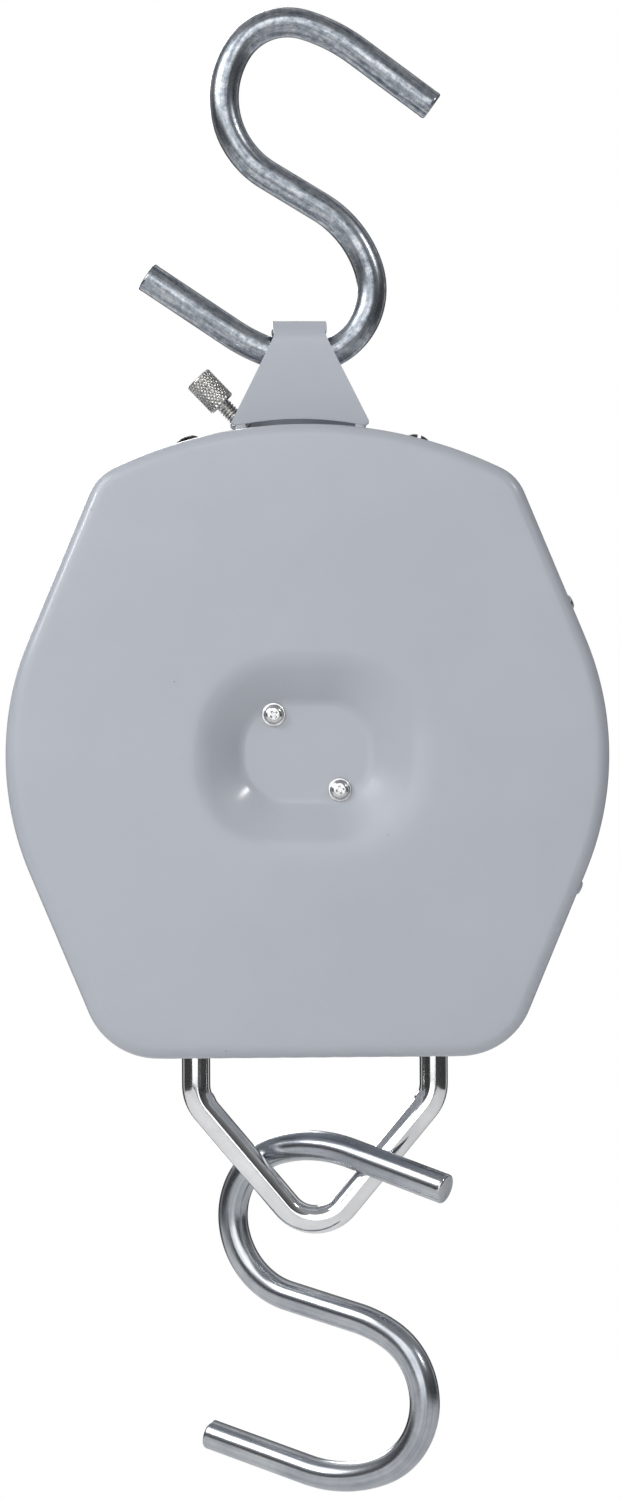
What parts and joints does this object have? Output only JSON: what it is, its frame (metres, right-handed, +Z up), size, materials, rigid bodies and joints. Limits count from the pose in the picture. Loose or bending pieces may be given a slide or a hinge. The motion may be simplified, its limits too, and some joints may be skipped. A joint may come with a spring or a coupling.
{
  "type": "hanging dial scale",
  "caption": "Hanging dial spring scale: S-hook, folded bracket, closed painted sheet-metal case with a round dial, wire draw yoke and load hook.",
  "frame": {"origin": "the point inside the top hook's upper bend that rests on whatever carries the scale", "axes": "+Z up, along the line of pull; +Y out of the rear cover; the dial faces -Y"},
  "size_m": [0.23, 0.0835, 0.5754],
  "materials": {
    "zinc_wire": "zinc-plated drawn wire",
    "grey_paint": "blue-grey satin enamel",
    "bright_zinc": "bright zinc plate",
    "chrome_wire": "bright chrome plate",
    "chrome_ring": "bright chrome plate",
    "nickel": "bright nickel plate",
    "black_steel": "black oxide",
    "plain_steel": "mill finish",
    "brass": "as machined",
    "spring_steel": "oiled",
    "white_dial": "satin enamel",
    "red_paint": "gloss enamel",
    "lens": "clear, polished",
    "black_rubber": "moulded",
    "white_plastic": "moulded"
  },
  "bodies": {
    "top_hook": {"top_hook": "zinc_wire"},
    "case": {"suspension_bracket": "grey_paint", "front_case": "grey_paint", "rear_cover": "grey_paint", "cover_screw_upper": "bright_zinc", "cover_screw_lower": "bright_zinc", "side_screw_upper": "bright_zinc", "side_screw_lower": "bright_zinc", "dial_screw_left": "bright_zinc", "dial_screw_right": "bright_zinc", "bezel": "chrome_ring", "top_screw_left": "black_steel", "top_screw_right": "black_steel", "cover_post_upper": "plain_steel", "cover_post_lower": "plain_steel", "chassis": "plain_steel", "chassis_nut_left": "plain_steel", "chassis_nut_right": "plain_steel", "spring_hanger": "plain_steel", "hanger_pin_left": "plain_steel", "hanger_pin_right": "plain_steel", "spring_plug_upper_left": "plain_steel", "spring_plug_upper_right": "plain_steel", "zero_boss": "plain_steel", "zero_ramp": "plain_steel", "movement_front_plate": "brass", "pillar_lower_left": "brass", "pillar_lower_right": "brass", "pillar_upper_left": "brass", "pillar_upper_right": "brass", "arbor_bush_front": "brass", "arbor_bush_rear": "brass", "rack_guide_pin": "brass", "dial_post_left": "brass", "dial_post_right": "brass", "spring_left": "spring_steel", "spring_right": "spring_steel", "dial_plate": "white_dial", "lens": "lens", "lens_gasket": "black_rubber", "yoke_bush_left": "black_rubber", "yoke_bush_right": "black_rubber", "dial_ring": "white_plastic"},
    "draw_bar": {"draw_yoke": "chrome_wire", "crosshead": "plain_steel", "yoke_nut_left": "bright_zinc", "yoke_nut_right": "bright_zinc", "rack": "brass", "rack_screw": "bright_zinc", "spring_plug_lower_left": "plain_steel", "spring_plug_lower_right": "plain_steel"},
    "pointer": {"pinion_arbor": "brass", "pointer": "red_paint", "pointer_cap": "nickel"},
    "zero_pad": {"zero_pad": "nickel"},
    "zero_screw": {"zero_screw": "nickel"},
    "lower_hook": {"lower_hook": "zinc_wire"}
  },
  "joints": [
    {"name": "case_swing", "type": "hinge", "parent": "top_hook", "child": "case", "pos_m": [-0.00423, -0.0016, -0.12243], "axis": [1, 0, 0], "range_deg": [-18, 18]},
    {"name": "yoke_draw", "type": "slide", "parent": "case", "child": "draw_bar", "axis": [0, 0, -1], "range_m": [0, 0.0385], "stiffness_N_per_m": 13000, "springref_m": -0.0005, "deforming": ["spring_left", "spring_right"]},
    {"name": "pointer_turn", "type": "hinge", "parent": "case", "child": "pointer", "pos_m": [-0.00423, 0, -0.27863], "axis": [0, 1, 0], "range_deg": [0, 345]},
    {"name": "zero_pad_slide", "type": "slide", "parent": "case", "child": "zero_pad", "axis": [0.6921, 0, 0.7218], "range_m": [0, 0.00255]},
    {"name": "zero_screw_turn", "type": "hinge", "parent": "zero_pad", "child": "zero_screw", "pos_m": [0.02677, 0, -0.14243], "axis": [0.6921, 0, 0.7218], "range_deg": [0, 720]},
    {"name": "lower_hook_swing", "type": "hinge", "parent": "draw_bar", "child": "lower_hook", "pos_m": [-0.00873, 0.00214, -0.43763], "axis": [1, 0, 0], "range_deg": [-15, 15]}
  ],
  "couplings": [
    {"joint": "pointer_turn", "follows": "yoke_draw", "rad_per_m": 156.25},
    {"joint": "zero_pad_slide", "follows": "zero_screw_turn", "m_per_rad": 0.00020213}
  ]
}
